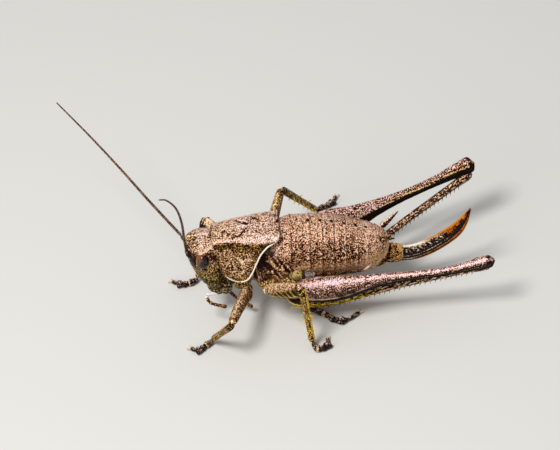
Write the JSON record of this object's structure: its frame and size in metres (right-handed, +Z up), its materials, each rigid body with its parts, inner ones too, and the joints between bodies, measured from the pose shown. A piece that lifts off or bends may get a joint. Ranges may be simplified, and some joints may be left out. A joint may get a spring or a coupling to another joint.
{
  "type": "long horned grasshopper",
  "caption": "Wingless brown bush-cricket standing on six bent legs, with long thread feelers held up, long jumping legs folded along the body and an upcurved egg-laying blade.",
  "frame": {"origin": "on the floor, under the middle of the whole model's bounding box", "axes": "+Z up from the floor; the head points to -X, the tail to +X and the animal's right side to +Y"},
  "size_m": [0.0352, 0.0232, 0.0216],
  "materials": {
    "cuticle": "granular horny cuticle, pinkish brown, densely speckled dark brown, slightly glossy on raised edges",
    "dark_cuticle": "dark brown cuticle and membrane with olive and tan mottling, satin",
    "eye": "smooth glossy orange-brown compound eye with a black lower rim",
    "feeler": "fine dark brown thread of short rings, satin",
    "blade": "smooth horny blade, tan to olive at its root and red-brown to its tip, glossy",
    "pale_cuticle": "pale pinkish tan cuticle, satin"
  },
  "bodies": {
    "root": {"pronotum": "cuticle", "head": "cuticle", "thorax": "dark_cuticle", "labrum": "dark_cuticle", "eye_left": "eye", "mandible_left": "dark_cuticle", "wing_stub_left": "pale_cuticle", "eye_right": "eye", "mandible_right": "dark_cuticle", "wing_stub_right": "pale_cuticle", "antenna_left_scape": "dark_cuticle", "antenna_left_thread_1": "feeler", "antenna_left_thread_2": "feeler", "antenna_right_scape": "dark_cuticle", "antenna_right_thread_1": "feeler", "antenna_right_thread_2": "feeler", "palp_maxillary_left": "pale_cuticle", "palp_maxillary_right": "pale_cuticle", "palp_labial_left": "pale_cuticle", "palp_labial_right": "pale_cuticle", "abdomen_ring_1": "cuticle", "abdomen_ring_2": "cuticle", "abdomen_ring_3": "cuticle", "abdomen_ring_4": "cuticle", "abdomen_ring_5": "cuticle", "abdomen_ring_6": "cuticle", "abdomen_ring_7": "cuticle", "abdomen_ring_8": "cuticle", "abdomen_tip": "cuticle", "subgenital_plate": "dark_cuticle", "ovipositor_base": "cuticle", "ovipositor": "blade", "cercus_left": "pale_cuticle", "cercus_right": "pale_cuticle", "front_left_coxa": "dark_cuticle", "front_left_femur": "cuticle", "front_left_tibia": "cuticle", "front_left_tarsus": "dark_cuticle", "front_right_coxa": "dark_cuticle", "front_right_femur": "cuticle", "front_right_tibia": "cuticle", "front_right_tarsus": "dark_cuticle", "middle_left_coxa": "dark_cuticle", "middle_left_femur": "cuticle", "middle_left_tibia": "cuticle", "middle_left_tarsus": "dark_cuticle", "middle_right_coxa": "dark_cuticle", "middle_right_femur": "cuticle", "middle_right_tibia": "cuticle", "middle_right_tarsus": "dark_cuticle", "hind_left_coxa": "dark_cuticle", "hind_left_femur": "cuticle", "hind_left_tibia": "cuticle", "hind_left_tarsus": "dark_cuticle", "hind_right_coxa": "dark_cuticle", "hind_right_femur": "cuticle", "hind_right_tibia": "cuticle", "hind_right_tarsus": "dark_cuticle"}
  },
  "joints": []
}
